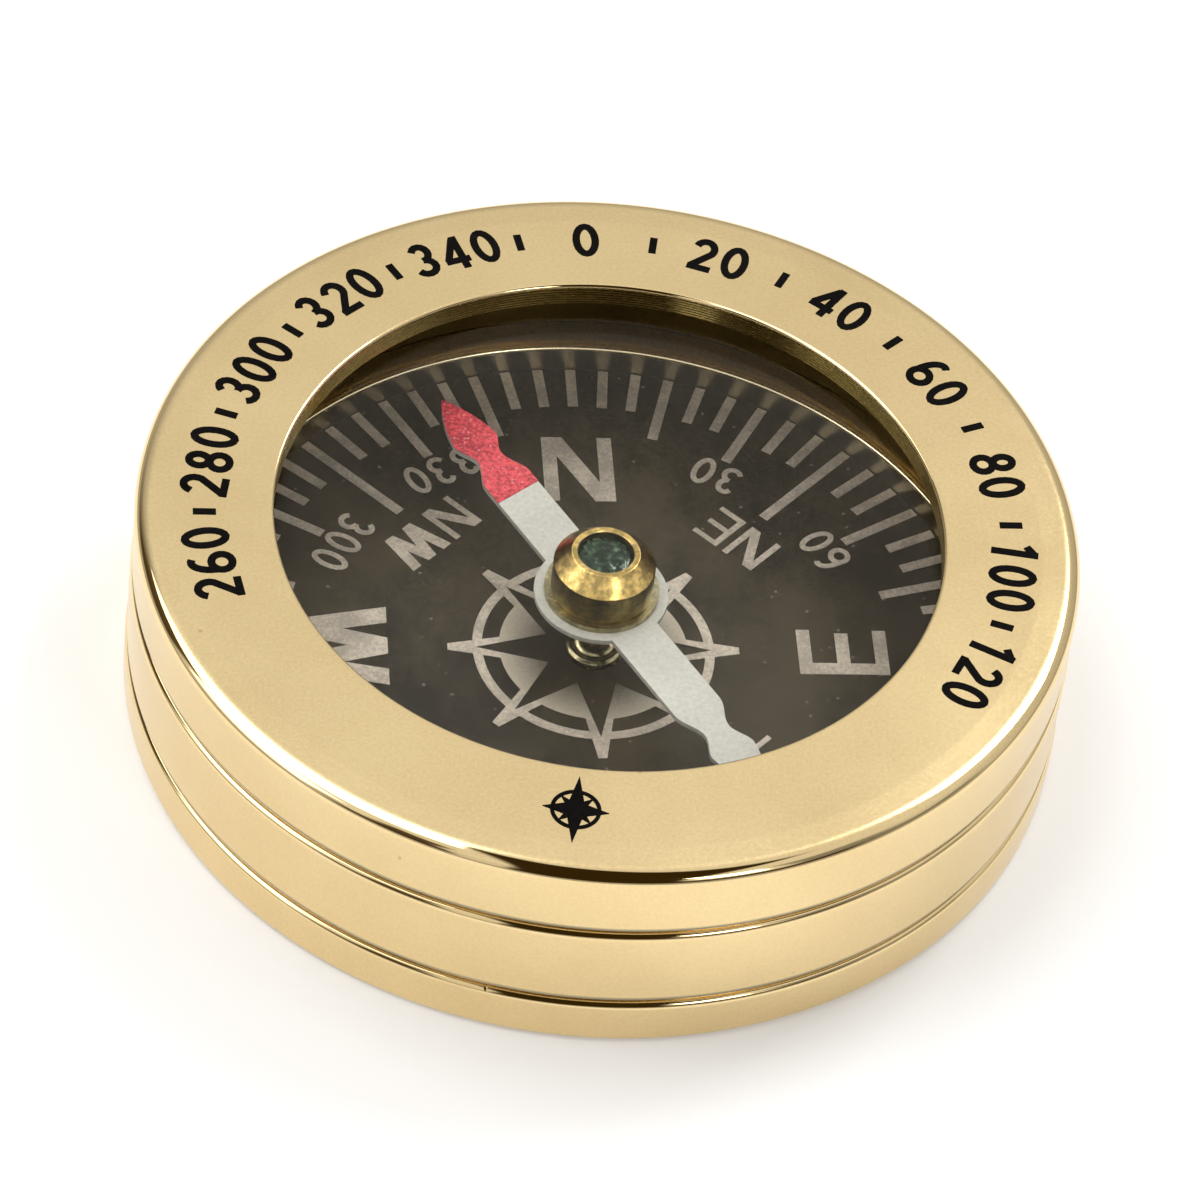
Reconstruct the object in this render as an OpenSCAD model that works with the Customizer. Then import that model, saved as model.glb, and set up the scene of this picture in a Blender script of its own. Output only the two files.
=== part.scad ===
// Brass pocket compass: a three-band turned case, a flat crystal, a printed dial and a needle
// on a steel pivot. Origin at the centre of the bottom face, +Z up, +Y towards the dial's north.

/* [Case] */
// Outside diameter of the case at its base cover
case_d = 58; // [54:0.5:66]
// Height of the bezel ring's band
bezel_h = 5.1; // [4.9:0.1:7]
// Height of the body's band
body_h = 6.1; // [5.2:0.1:9]
// Height of the base cover's band
base_h = 3.2; // [2.8:0.1:5]
// How much wider each band is than the band above it, in radius
band_step = 0.1; // [0:0.05:0.2]
// Wall between the widest band and the needle chamber
case_wall = 3.8; // [3.6:0.1:4.6]
// Thickness of the base cover's floor
floor_t = 1.1; // [0.9:0.1:1.6]
// Height of the rounding of the bezel's top outer edge
bezel_edge_h = 0.75; // [0.3:0.05:1]
// Width of that rounding
bezel_edge_w = 1.1; // [0.3:0.05:1.3]
// Rounding of the lower edges of the bezel and the body
low_edge_r = 0.6; // [0.1:0.05:0.7]
// Rounding of the edges just below the two seams
seam_edge_r = 0.42; // [0.1:0.02:0.5]
// Rounding of the bottom edge
base_edge_r = 0.4; // [0.2:0.05:0.8]

/* [Bezel window] */
// Width of the bezel's flat top face
bezel_face_w = 8.4; // [7:0.1:9.5]
// Thickness of the bezel's flange over the crystal, which is the depth of the window
flange_t = 1.5; // [1.2:0.1:2]
// Rounding of the window's upper edge
window_edge_r = 0.2; // [0.1:0.05:0.4]
// Depth of the fine turned grooves in the window's wall
bore_groove_depth = 0.06; // [0.04:0.02:0.12]
// Distance between the turned grooves
bore_groove_pitch = 0.4; // [0.3:0.05:0.5]

/* [Screw threads] */
// Wall of the bezel outside its thread
thread_wall = 1.4; // [1.2:0.05:1.5]
// Number of thread turns
thread_turns = 4; // [2:1:5]
// Plain length above the bezel's thread
thread_runout = 0.7; // [0.5:0.05:1]
// Radial clearance in the threads
thread_gap = 0.05; // [0.02:0.01:0.1]

/* [Crystal] */
// Thickness of the flat glass crystal
crystal_t = 1.1; // [0.9:0.1:1.3]
// Ring of crystal that lies on the case ledge
crystal_seat_w = 1; // [0.7:0.1:1.1]
// Chamfer of the crystal's edges
crystal_chamfer = 0.15; // [0.05:0.05:0.3]
// Thickness of the rubber washer under the crystal
washer_t = 0.4; // [0.2:0.05:0.6]

/* [Dial] */
// Thickness of the dial plate
dial_t = 0.5; // [0.3:0.1:0.8]
// Thickness of the packing disc under the dial
packing_t = 0.7; // [0.5:0.05:0.85]
// Height of the polished ring that holds the dial down
dial_ring_h = 1.9; // [1.2:0.05:2.6]
// Wall of that ring
dial_ring_w = 0.4; // [0.3:0.05:0.7]
// Thickness of the print on the dial and on the bezel
ink_t = 0.04; // [0.03:0.01:0.08]
// Gap between the outer ends of the graduations and the dial ring
tick_margin = 0.1; // [0.05:0.05:0.6]
// Width of a graduation
tick_w = 0.66; // [0.4:0.02:0.9]
// Length of a 5 degree graduation
short_tick_l = 3.35; // [2:0.05:4]
// Length of a 15 degree graduation
mid_tick_l = 5.55; // [4.2:0.05:6.5]
// Gap between the 15 degree graduations and the row of labels
label_gap = 0.25; // [0.15:0.05:0.5]
// Height of the degree numbers
degree_h = 2.45; // [1.8:0.05:2.8]
// Pen width of the degree numbers
degree_pen = 0.36; // [0.25:0.01:0.45]
// Height of the N, E, S and W letters
cardinal_h = 5.65; // [4.5:0.05:6]
// How much farther in these letters stand than the degree numbers
cardinal_drop = 0.4; // [0:0.05:0.6]
// Height of the NE, SE, SW and NW letters
quarter_h = 3; // [2.2:0.1:3.4]
// Gap between the row of degree numbers and the NE, SE, SW and NW letters
quarter_gap = 1.15; // [0.9:0.05:1.4]
// Gap between those letters and the 45 degree graduations
long_tick_gap = 1.1; // [0.5:0.05:1.2]

/* [Compass rose] */
// Gap between the star's points and the N, E, S and W letters
rose_gap = 3.7; // [3:0.05:5]
// Width of the star's blunt tips
rose_tip_w = 0.54; // [0.3:0.02:0.8]
// Width of the rose's ring line
rose_ring_w = 0.6; // [0.4:0.02:0.7]

/* [Pivot] */
// Diameter of the pivot post's flange on the dial
post_d = 3.6; // [3:0.1:4.2]
// Height of that flange
post_flange_h = 0.5; // [0.3:0.05:0.8]
// Height of the rounded shoulder on the flange
post_dome_h = 0.65; // [0.4:0.05:1.2]
// Diameter of the shoulder's flat top
post_top_d = 1.5; // [1.3:0.1:2]
// Diameter of the post's shank through the dial
shank_d = 1.6; // [1.4:0.1:1.8]
// Diameter of the steel pivot pin
pin_d = 0.9; // [0.7:0.05:1]
// Length of the pin's ground point
pin_point_l = 0.8; // [0.6:0.05:1.2]
// Distance across the flats of the pivot nut
nut_flats = 3.6; // [3:0.1:4]
// Thickness of the pivot nut
nut_t = 0.8; // [0.6:0.05:0.9]

/* [Needle] */
// Length of the needle from tip to tip
needle_l = 37.6; // [32:0.2:42]
// Width of the needle's shaft
needle_w = 3.25; // [2.6:0.05:4]
// Thickness of the needle
needle_t = 0.35; // [0.25:0.05:0.5]
// Diameter of the disc at the needle's middle
needle_disc_d = 8.3; // [7.4:0.1:10]
// Width of the needle's waists
waist_w = 1.75; // [1.2:0.05:2.2]
// Width of the needle's arrow heads
head_w = 3; // [2.4:0.05:3.6]
// Distance from the pivot to where the shaft starts to narrow
shaft_reach = 10.8; // [9:0.1:11.5]
// Distance from the pivot to the waist
waist_reach = 13; // [12:0.1:13.5]
// Distance from the pivot to the widest part of the arrow head
head_reach = 14.8; // [14.2:0.05:15.5]
// Distance from the pivot to the middle of the red coat's edge
red_reach = 9.6; // [7:0.1:10.4]
// How much farther out that edge lies at the needle's east side than at its west side
red_slant = 0.5; // [0:0.1:0.8]
// Compass heading at which the needle stands at rest, in degrees
needle_heading = 331; // [0:1:359]

/* [Needle hub] */
// Diameter of the hub cap
hub_d = 6.3; // [6:0.1:7]
// Height of the hub, from the needle to the cap's top
hub_h = 3.5; // [2.9:0.1:3.7]
// Height of the cap's bevel
hub_bevel_h = 1; // [0.7:0.05:1.3]
// Diameter of the cap's flat top
hub_top_d = 4.1; // [3.8:0.05:4.4]
// Gap between the hub and the crystal
hub_clearance = 0.8; // [0.5:0.05:1.1]
// Diameter of the collar under the cap
collar_d = 7.1; // [7:0.05:7.4]
// Thickness of the collar
collar_t = 0.4; // [0.2:0.05:0.5]
// Diameter of the hub's tube through the needle
hub_tube_d = 4; // [3.6:0.1:4.4]
// Diameter of the riveting washer under the needle
rivet_d = 5.8; // [5:0.1:6.4]
// Thickness of the riveting washer
rivet_t = 0.3; // [0.2:0.05:0.4]
// Diameter of the jewel
jewel_d = 3.4; // [3:0.05:3.5]
// Thickness of the jewel
jewel_t = 1.3; // [1.1:0.05:1.5]
// How far the jewel lies below the cap's top
jewel_sink = 0.25; // [0.1:0.05:0.4]
// Depth and radius of the cone in the jewel's underside
jewel_cone = 0.6; // [0.5:0.05:0.75]
// Diameter of the hub's bore around the pin
hub_bore_d = 2.3; // [2:0.1:2.6]

/* [Bezel marks] */
// Height of the degree numbers on the bezel
mark_h = 2.9; // [2:0.1:3.2]
// Pen width of the bezel marks
mark_pen = 0.48; // [0.3:0.02:0.5]
// Length of the short strokes between the numbers
mark_tick_l = 1.4; // [0.8:0.1:2]
// First heading marked on the bezel, in steps of 20 degrees from north
mark_first = -5; // [-6:1:0]
// Last heading marked on the bezel, in the same steps
mark_last = 6; // [1:1:7]
// Distance from the window's edge to the middle of the small bezel star
star_offset = 3.4; // [3.2:0.1:4.6]
// Length of the bezel star's long points
star_l = 2.6; // [2:0.1:2.8]
// Length of its side points
star_side_l = 1.95; // [1.6:0.05:2.2]
// Outer radius of the bezel star's ring
star_ring_r = 1.5; // [1.2:0.05:1.6]
// Heading of the bezel star, in degrees
star_heading = 188.6; // [0:0.2:359.8]

/* [Hidden] */
$fn = 128;

// Overrun of a cut past the face that it goes through
over = 0.5;
// Clearance between pieces that drop into each other
fit_gap = 0.05;
// Clearance above a spigot's end
end_gap = 0.1;
// Gap between the pin's point and the jewel
point_gap = 0.06;
// Least bare ring between the post's flange and the print round it
print_post_gap = 0.2;
// Steps in a quarter turn of a rounded edge
edge_steps = 8;
// Steps in each curve of the needle's outline
curve_steps = 10;
// Degrees between graduations, labels and bezel numbers
tick_step = 5;
label_step = 30;
mark_step = 20;
compass_points = 8;

// Radii of the case
case_r = case_d / 2;
body_r = case_r - band_step;
bezel_r = body_r - band_step;
chamber_r = case_r - case_wall;
window_r = bezel_r - bezel_face_w;
face_mid_r = (window_r + bezel_r) / 2;
thread_r = bezel_r - thread_wall;
crystal_r = chamber_r + crystal_seat_w - fit_gap;
recess_r = crystal_r + fit_gap;

// Heights of the case, from the bottom face up
body_z = base_h;
bezel_z = base_h + body_h;
top_z = bezel_z + bezel_h;
crystal_top_z = top_z - flange_t;
crystal_z = crystal_top_z - crystal_t;
ledge_z = crystal_z - washer_t;
spigot_top_z = crystal_top_z - end_gap;
thread_pitch = (bezel_h - flange_t - thread_runout) / (thread_turns + 1);
thread_depth_share = 0.5;
thread_depth = thread_pitch * thread_depth_share;
base_spigot_h = thread_pitch * (thread_turns + 1);
base_spigot_z = body_z + base_spigot_h;

// Heights of the dial and the pivot
packing_z = floor_t;
dial_z = packing_z + packing_t;
dial_face_z = dial_z + dial_t;
dial_r = chamber_r - fit_gap;
dial_ring_r = dial_r - dial_ring_w;
nut_z = dial_z - nut_t;
nut_pocket_r = nut_flats / sqrt(3) + fit_gap * 4;
nut_pocket_depth = nut_t - packing_t + end_gap;

// Heights of the needle and its hub
hub_top_z = crystal_z - hub_clearance;
needle_top_z = hub_top_z - hub_h;
needle_z = needle_top_z - needle_t;
cap_z = needle_top_z + collar_t;
jewel_z = hub_top_z - jewel_sink - jewel_t;
rivet_z = needle_z - rivet_t;
tube_end_z = rivet_z - end_gap;
pin_tip_z = jewel_z + jewel_cone - point_gap;
pin_z = dial_z;

// Radii of the dial's print
tick_outer_r = dial_ring_r - tick_margin;
label_r = tick_outer_r - mid_tick_l - label_gap;
quarter_r = label_r - degree_h - quarter_gap;
long_tick_l = tick_outer_r - quarter_r - long_tick_gap;
cardinal_r = label_r - cardinal_drop;
rose_r = cardinal_r - cardinal_h - rose_gap;

// Radii of the star's corners, of the dark star in it, the filled fields and the ring line, as
// shares of the radius of the star's tips
rose_inner_share = 0.385;
rose_core_share = 0.805;
rose_core_inner_share = 0.345;
rose_fill_share = 0.648;
rose_ring_share = 0.83;
rose_fill_r = rose_r * rose_fill_share;
rose_ring_r = rose_r * rose_ring_share;

// Widths and gaps of the letters and digits, as shares of their height
digit_w_share = 0.56;
digit_gap_share = 0.16;
cardinal_stem_share = 0.165;
quarter_stem_share = 0.135;
bar_per_stem = 0.9;
letter_slant_share = 0.235;
letter_gap_share = 0.17;
letter_w_shares = [["N", 0.8], ["E", 0.66], ["S", 0.7], ["W", 1.16]];

function arc(c, r, from, to, n) =
    [for (i = [0 : n]) let (a = from + (to - from) * i / n) c + [r[0] * cos(a), r[1] * sin(a)]];
function side(v) = [-v[1], v[0]] / norm(v);
function unit(v) = v / norm(v);
function mitre(a, b) = (side(a) + side(b)) / (1 + unit(a) * unit(b));
function flipped(list) = [for (i = [len(list) - 1 : -1 : 0]) list[i]];

// Offsets from the middle line of an open stroke, then of a closed one whose last point is its first
function open_offsets(p) = let (n = len(p) - 1)
    [for (i = [0 : n]) i == 0 ? side(p[1] - p[0])
        : i == n ? side(p[n] - p[n - 1])
        : mitre(p[i] - p[i - 1], p[i + 1] - p[i])];
function closed_offsets(p) = let (n = len(p) - 1)
    [for (i = [0 : n - 1]) mitre(p[i] - p[(i + n - 1) % n], p[i + 1] - p[i])];

module stroke(p, pen) {
    half = pen / 2;
    n = len(p) - 1;
    if (norm(p[0] - p[n]) < pen / 100) {
        o = closed_offsets(p);
        outer = [for (i = [0 : n - 1]) p[i] - half * o[i]];
        inner = [for (i = [0 : n - 1]) p[i] + half * o[i]];
        polygon(concat(outer, inner), [[for (i = [0 : n - 1]) i], [for (i = [0 : n - 1]) n + i]]);
    } else {
        o = open_offsets(p);
        left = [for (i = [0 : n]) p[i] + half * o[i]];
        right = [for (i = [0 : n]) p[i] - half * o[i]];
        polygon(concat(left, flipped(right)));
    }
}

// Middle lines of the digits, as shares of their height
function digit_shares(d) =
    d == 0 ? [arc([0.28, 0.5], [0.21, 0.43], 0, 360, 20)]
    : d == 1 ? [[[0.1, 0.74], [0.32, 0.93]], [[0.32, 1], [0.32, 0]]]
    : d == 2 ? [concat(arc([0.28, 0.69], [0.2, 0.24], 165, -30, 10), [[0.1, 0.1]]),
        [[0.02, 0.07], [0.54, 0.07]]]
    : d == 3 ? [arc([0.26, 0.71], [0.18, 0.22], 155, -90, 10),
        arc([0.26, 0.285], [0.21, 0.215], 90, -155, 10)]
    : d == 4 ? [[[0.37, 0.93], [0.06, 0.29]], [[0, 0.27], [0.56, 0.27]], [[0.4, 1], [0.4, 0]]]
    : d == 5 ? [[[0.52, 0.93], [0.09, 0.93]], [[0.13, 0.98], [0.13, 0.42]],
        arc([0.27, 0.31], [0.215, 0.235], 125, -155, 11)]
    : d == 6 ? [arc([0.28, 0.29], [0.22, 0.22], 0, 360, 18),
        concat(arc([0.33, 0.45], [0.248, 0.48], 70, 180, 9), [[0.082, 0.4]])]
    : d == 7 ? [[[0.02, 0.93], [0.54, 0.93]], [[0.48, 0.9], [0.24, 0]]]
    : d == 8 ? [arc([0.28, 0.72], [0.17, 0.21], 0, 360, 16), arc([0.28, 0.28], [0.21, 0.21], 0, 360, 18)]
    : [for (path = digit_shares(6)) [for (p = path) [digit_w_share, 1] - p]];

function digits_of(n) = n < 10 ? [n] : concat(digits_of(floor(n / 10)), [n % 10]);

module digit(d, h, pen) {
    for (path = digit_shares(d)) stroke(path * h, pen);
}

// A number centred on the Y axis, standing on the X axis
module number(n, h, pen) {
    list = digits_of(n);
    step = (digit_w_share + digit_gap_share) * h;
    total = step * len(list) - digit_gap_share * h;
    for (i = [0 : len(list) - 1])
        translate([i * step - total / 2, 0]) digit(list[i], h, pen);
}

function letter_w_share(c) = letter_w_shares[search(c, letter_w_shares)[0]][1];

// A slanted bar between two places on the top line and the base line, as shares of the height
function slant_shares(top, bottom) = let (s = letter_slant_share / 2)
    [[top - s, 1], [top + s, 1], [bottom + s, 0], [bottom - s, 0]];
function box_shares(x0, y0, x1, y1) = [[x0, y0], [x1, y0], [x1, y1], [x0, y1]];
function bars_shares(c, m) = let (w = letter_w_share(c), b = m * bar_per_stem,
        s = letter_slant_share / 2)
    c == "N" ? [box_shares(0, 0, m, 1), box_shares(w - m, 0, w, 1), slant_shares(s, w - s)]
    : c == "E" ? [box_shares(0, 0, m, 1), box_shares(0, 0, w, b), box_shares(0, 1 - b, w, 1),
        box_shares(0, (1 - b) / 2, w * 0.93, (1 + b) / 2)]
    : [slant_shares(s, w * 0.27), slant_shares(w / 2, w * 0.27), slant_shares(w / 2, w * 0.73),
        slant_shares(w - s, w * 0.73)];
s_path_shares = concat(arc([0.35, 0.71], [0.25, 0.215], 20, 240, 12),
    arc([0.35, 0.29], [0.27, 0.215], 60, -160, 12));

module letter(c, h, stem) {
    if (c == "S") stroke(s_path_shares * h, stem * bar_per_stem * h);
    else for (bar = bars_shares(c, stem)) polygon(bar * h);
}

// Letters side by side, centred on the Y axis and standing on the X axis
module letters(text, h, stem) {
    widths = [for (c = text) letter_w_share(c) * h];
    gap = letter_gap_share * h;
    starts = [for (i = 0, x = 0; i < len(text); x = x + widths[i] + gap, i = i + 1) x];
    total = starts[len(text) - 1] + widths[len(text) - 1];
    for (i = [0 : len(text) - 1])
        translate([starts[i] - total / 2, 0]) letter(text[i], h, stem);
}

// Puts its children at a compass heading: tops towards the centre on the dial, outwards on the bezel
module on_dial(heading, r) {
    rotate(180 - heading) translate([0, -r]) children();
}
module on_bezel(heading, r) {
    rotate(-heading) translate([0, r]) children();
}
module ink(z) {
    translate([0, 0, z]) linear_extrude(ink_t) children();
}

// Rounded corner of a section, with its centre at c, from one angle to another
function corner(c, r, from, to) = arc(c, [r, r], from, to, edge_steps);

// Zigzag side of a thread from its lowest crest upwards
function thread_side(r, z, turns) =
    [for (i = [0 : 2 * turns]) [i % 2 == 0 ? r : r - thread_depth, z + i * thread_pitch / 2]];

module ring_section(points) {
    rotate_extrude() polygon(points);
}

brass = [0.86, 0.74, 0.45];
dark_brass = [0.72, 0.58, 0.3];
silver_print = [0.66, 0.6, 0.54];

module bezel_ring() {
    thread_z = bezel_z + thread_pitch / 2;
    d = bore_groove_depth;
    p = bore_groove_pitch;
    color(brass) difference() {
        ring_section(concat(
            [[window_r, crystal_top_z], [thread_r + thread_gap, crystal_top_z]],
            flipped(thread_side(thread_r + thread_gap, thread_z, thread_turns)),
            [[thread_r + thread_gap, bezel_z]],
            corner([bezel_r - low_edge_r, bezel_z + low_edge_r], low_edge_r, -90, 0),
            arc([bezel_r - bezel_edge_w, top_z - bezel_edge_h], [bezel_edge_w, bezel_edge_h], 0, 90,
                edge_steps),
            corner([window_r + window_edge_r, top_z - window_edge_r], window_edge_r, 90, 180)));
        for (z = [crystal_top_z + p : p : top_z - window_edge_r - p / 2])
            rotate_extrude() polygon([[window_r - over, z - d - over],
                [window_r + d, z], [window_r - over, z + d + over]]);
    }
}

module case_body() {
    recess_top_z = base_spigot_z + end_gap;
    color(brass) ring_section(concat(
        [[chamber_r, recess_top_z], [thread_r + thread_gap, recess_top_z]],
        flipped(thread_side(thread_r + thread_gap, body_z + thread_pitch / 2, thread_turns)),
        [[thread_r + thread_gap, body_z]],
        corner([body_r - low_edge_r, body_z + low_edge_r], low_edge_r, -90, 0),
        corner([body_r - seam_edge_r, bezel_z - seam_edge_r], seam_edge_r, 0, 90),
        [[thread_r - thread_depth, bezel_z]],
        thread_side(thread_r, bezel_z + thread_pitch / 2, thread_turns),
        [[thread_r - thread_depth, bezel_z + thread_pitch * (thread_turns + 1)],
            [thread_r - thread_depth, spigot_top_z], [recess_r, spigot_top_z],
            [recess_r, ledge_z], [chamber_r, ledge_z]]));
}

module base_cover() {
    color(brass) difference() {
        ring_section(concat(
            [[0, 0]],
            corner([case_r - base_edge_r, base_edge_r], base_edge_r, -90, 0),
            corner([case_r - seam_edge_r, body_z - seam_edge_r], seam_edge_r, 0, 90),
            [[thread_r - thread_depth, body_z]],
            thread_side(thread_r, body_z + thread_pitch / 2, thread_turns),
            [[thread_r - thread_depth, base_spigot_z], [chamber_r, base_spigot_z],
                [chamber_r, floor_t], [0, floor_t]]));
        translate([0, 0, floor_t - nut_pocket_depth])
            cylinder(r = nut_pocket_r, h = nut_pocket_depth + over);
    }
}

module crystal() {
    c = crystal_chamfer;
    color([0.85, 0.9, 0.88, 0.35]) ring_section([[0, crystal_z], [crystal_r - c, crystal_z],
        [crystal_r, crystal_z + c], [crystal_r, crystal_top_z - c],
        [crystal_r - c, crystal_top_z], [0, crystal_top_z]]);
}

module crystal_washer() {
    color([0.12, 0.12, 0.12]) translate([0, 0, ledge_z]) difference() {
        cylinder(r = crystal_r, h = washer_t);
        translate([0, 0, -over]) cylinder(r = chamber_r + fit_gap, h = washer_t + 2 * over);
    }
}

module dial_plate() {
    color([0.25, 0.22, 0.18]) translate([0, 0, dial_z]) difference() {
        cylinder(r = dial_r, h = dial_t);
        translate([0, 0, -over]) cylinder(d = shank_d + 2 * fit_gap, h = dial_t + 2 * over);
    }
}

module dial_packing() {
    color([0.3, 0.28, 0.24]) translate([0, 0, packing_z]) difference() {
        cylinder(r = dial_r, h = packing_t);
        translate([0, 0, -over]) cylinder(r = nut_pocket_r, h = packing_t + 2 * over);
    }
}

module dial_ring() {
    c = dial_ring_w / 2;
    z = dial_face_z;
    color(brass) ring_section([[dial_ring_r, z], [dial_r, z], [dial_r, z + dial_ring_h],
        [dial_ring_r + c, z + dial_ring_h], [dial_ring_r, z + dial_ring_h - c]]);
}

function tick_length(heading) =
    heading % 90 == 0 ? short_tick_l
    : heading % 45 == 0 ? long_tick_l
    : heading % 15 == 0 ? mid_tick_l
    : short_tick_l;

module dial_graduations() {
    color(silver_print) ink(dial_face_z)
        for (a = [0 : tick_step : 359]) {
            l = tick_length(a);
            rotate(-a) translate([-tick_w / 2, tick_outer_r - l]) square([tick_w, l]);
        }
}

module dial_degrees() {
    color(silver_print) ink(dial_face_z)
        for (a = [label_step : label_step : 359])
            if (a % 90 != 0) on_dial(a, label_r) number(a, degree_h, degree_pen);
}

module dial_letters() {
    cardinals = ["N", "E", "S", "W"];
    quarters = ["NE", "SE", "SW", "NW"];
    color(silver_print) ink(dial_face_z) for (i = [0 : 3]) {
        on_dial(i * 90, cardinal_r) letters(cardinals[i], cardinal_h, cardinal_stem_share);
        on_dial(i * 90 + 45, quarter_r) letters(quarters[i], quarter_h, quarter_stem_share);
    }
}

// Outline of a star with blunt tips, from its tip radius, inner corners' radius and tip width
function star_points(tip_r, inner_r, tip_w, n) =
    [for (i = [0 : n - 1]) let (a = i * 360 / n, h = 180 / n, c = cos(a), d = sin(a), w = tip_w / 2)
        each [[-w * c + tip_r * d, w * d + tip_r * c], [w * c + tip_r * d, -w * d + tip_r * c],
            [inner_r * sin(a + h), inner_r * cos(a + h)]]];

module rose_star() {
    polygon(star_points(rose_r, rose_r * rose_inner_share, rose_tip_w, compass_points));
}

module rose_core() {
    polygon(star_points(rose_r * rose_core_share, rose_r * rose_core_inner_share, rose_tip_w / 20,
        compass_points));
}

module dial_rose() {
    color(silver_print) ink(dial_face_z) {
        difference() {
            rose_star();
            rose_core();
            circle(r = rose_fill_r);
        }
        difference() {
            circle(r = rose_ring_r);
            circle(r = rose_ring_r - rose_ring_w);
            rose_star();
        }
    }
}

module dial_rose_fill() {
    color([0.5, 0.46, 0.41]) ink(dial_face_z) difference() {
        circle(r = rose_fill_r);
        rose_core();
        circle(r = post_d / 2 + print_post_gap);
    }
}

module pivot_post() {
    flange_top_z = dial_face_z + post_flange_h;
    post_top_z = flange_top_z + post_dome_h;
    color(dark_brass) difference() {
        ring_section(concat(
            [[0, nut_z], [shank_d / 2, nut_z], [shank_d / 2, dial_face_z], [post_d / 2, dial_face_z]],
            arc([post_top_d / 2, flange_top_z], [(post_d - post_top_d) / 2, post_dome_h], 0, 90,
                edge_steps),
            [[0, post_top_z]]));
        translate([0, 0, pin_z]) cylinder(d = pin_d + fit_gap / 2, h = post_top_z - pin_z + over);
    }
}

module pivot_pin() {
    color([0.6, 0.61, 0.63]) translate([0, 0, pin_z]) {
        shaft_l = pin_tip_z - pin_point_l - pin_z;
        cylinder(d = pin_d, h = shaft_l);
        translate([0, 0, shaft_l]) cylinder(d1 = pin_d, d2 = 0, h = pin_point_l);
    }
}

module pivot_nut() {
    color(dark_brass) translate([0, 0, nut_z]) difference() {
        cylinder(d = nut_flats / cos(30), h = nut_t, $fn = 6);
        translate([0, 0, -over]) cylinder(d = shank_d + 2 * fit_gap, h = nut_t + 2 * over);
    }
}

// Half-width of the needle from one reach to the next, along an S curve or a bowed taper
function ease(t) = (1 - cos(180 * t)) / 2;
function eased(y0, w0, y1, w1) =
    [for (i = [1 : curve_steps]) let (t = i / curve_steps) [w0 + (w1 - w0) * ease(t), y0 + (y1 - y0) * t]];
taper_bow_share = 0.16;
function tapered(y0, w0, y1) =
    [for (i = [1 : curve_steps]) let (t = i / curve_steps)
        [w0 * (1 - t + taper_bow_share * sin(180 * t)), y0 + (y1 - y0) * t]];
function needle_side() = concat(
    [[needle_w / 2, shaft_reach]],
    eased(shaft_reach, needle_w / 2, waist_reach, waist_w / 2),
    eased(waist_reach, waist_w / 2, head_reach, head_w / 2),
    tapered(head_reach, head_w / 2, needle_l / 2));
function mirrored_x(list) = [for (p = flipped(list)) [-p[0], p[1]]];

// One end of the needle, from y = start to its tip, with the start on a slant if need be
module needle_end(start, slant) {
    half = needle_side();
    far = [for (i = [0 : len(half) - 2]) half[i]];
    polygon(concat([[needle_w / 2, start + slant / 2]], half, mirrored_x(far),
        [[-needle_w / 2, start - slant / 2]]));
}

module needle_blade() {
    color([0.82, 0.82, 0.78]) rotate(-needle_heading) translate([0, 0, needle_z]) difference() {
        linear_extrude(needle_t) {
            needle_end(0, 0);
            rotate(180) needle_end(0, 0);
            circle(d = needle_disc_d);
        }
        translate([0, 0, -over]) cylinder(d = hub_tube_d + fit_gap, h = needle_t + 2 * over);
    }
}

module needle_red_coat() {
    color([0.82, 0.2, 0.28]) rotate(-needle_heading) ink(needle_top_z) needle_end(red_reach, red_slant);
}

module hub_cap() {
    color(brass) difference() {
        ring_section([[0, tube_end_z], [hub_tube_d / 2, tube_end_z], [hub_tube_d / 2, cap_z],
            [hub_d / 2, cap_z], [hub_d / 2, hub_top_z - hub_bevel_h], [hub_top_d / 2, hub_top_z],
            [0, hub_top_z]]);
        translate([0, 0, tube_end_z - over])
            cylinder(d = hub_bore_d, h = hub_top_z - tube_end_z + 2 * over);
        translate([0, 0, jewel_z]) cylinder(d = jewel_d + fit_gap, h = hub_top_z - jewel_z + over);
    }
}

module tube_washer(d, z, t) {
    translate([0, 0, z]) difference() {
        cylinder(d = d, h = t);
        translate([0, 0, -over]) cylinder(d = hub_tube_d + fit_gap, h = t + 2 * over);
    }
}

module hub_collar() {
    color(dark_brass) tube_washer(collar_d, needle_top_z, collar_t);
}

module hub_rivet() {
    color(dark_brass) tube_washer(rivet_d, rivet_z, rivet_t);
}

module jewel() {
    c = jewel_sink / 2;
    top = jewel_z + jewel_t;
    color([0.1, 0.2, 0.15]) ring_section([[0, jewel_z + jewel_cone], [jewel_cone, jewel_z],
        [jewel_d / 2, jewel_z], [jewel_d / 2, top - c], [jewel_d / 2 - c, top], [0, top]]);
}

module bezel_degrees() {
    color([0.06, 0.05, 0.04]) ink(top_z) for (i = [mark_first : mark_last]) {
        on_bezel(i * mark_step, face_mid_r - mark_h / 2)
            number((i * mark_step + 360) % 360, mark_h, mark_pen);
        if (i < mark_last) on_bezel((i + 1 / 2) * mark_step, face_mid_r - mark_tick_l / 2)
            translate([-mark_pen / 2, 0]) square([mark_pen, mark_tick_l]);
    }
}

// Four-pointed star with long points along Y and side points along X
module star(long, side, core) {
    polygon([[0, long], [core, core], [side, 0], [core, -core], [0, -long], [-core, -core],
        [-side, 0], [-core, core]]);
}

module bezel_star() {
    short = star_ring_r - mark_pen / 4;
    color([0.06, 0.05, 0.04]) ink(top_z) on_bezel(star_heading, window_r + star_offset) {
        star(star_l, star_side_l, mark_pen);
        rotate(45) star(short, short, mark_pen * 2 / 3);
        difference() {
            circle(r = star_ring_r);
            circle(r = star_ring_r - mark_pen / 2);
        }
    }
}

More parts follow.
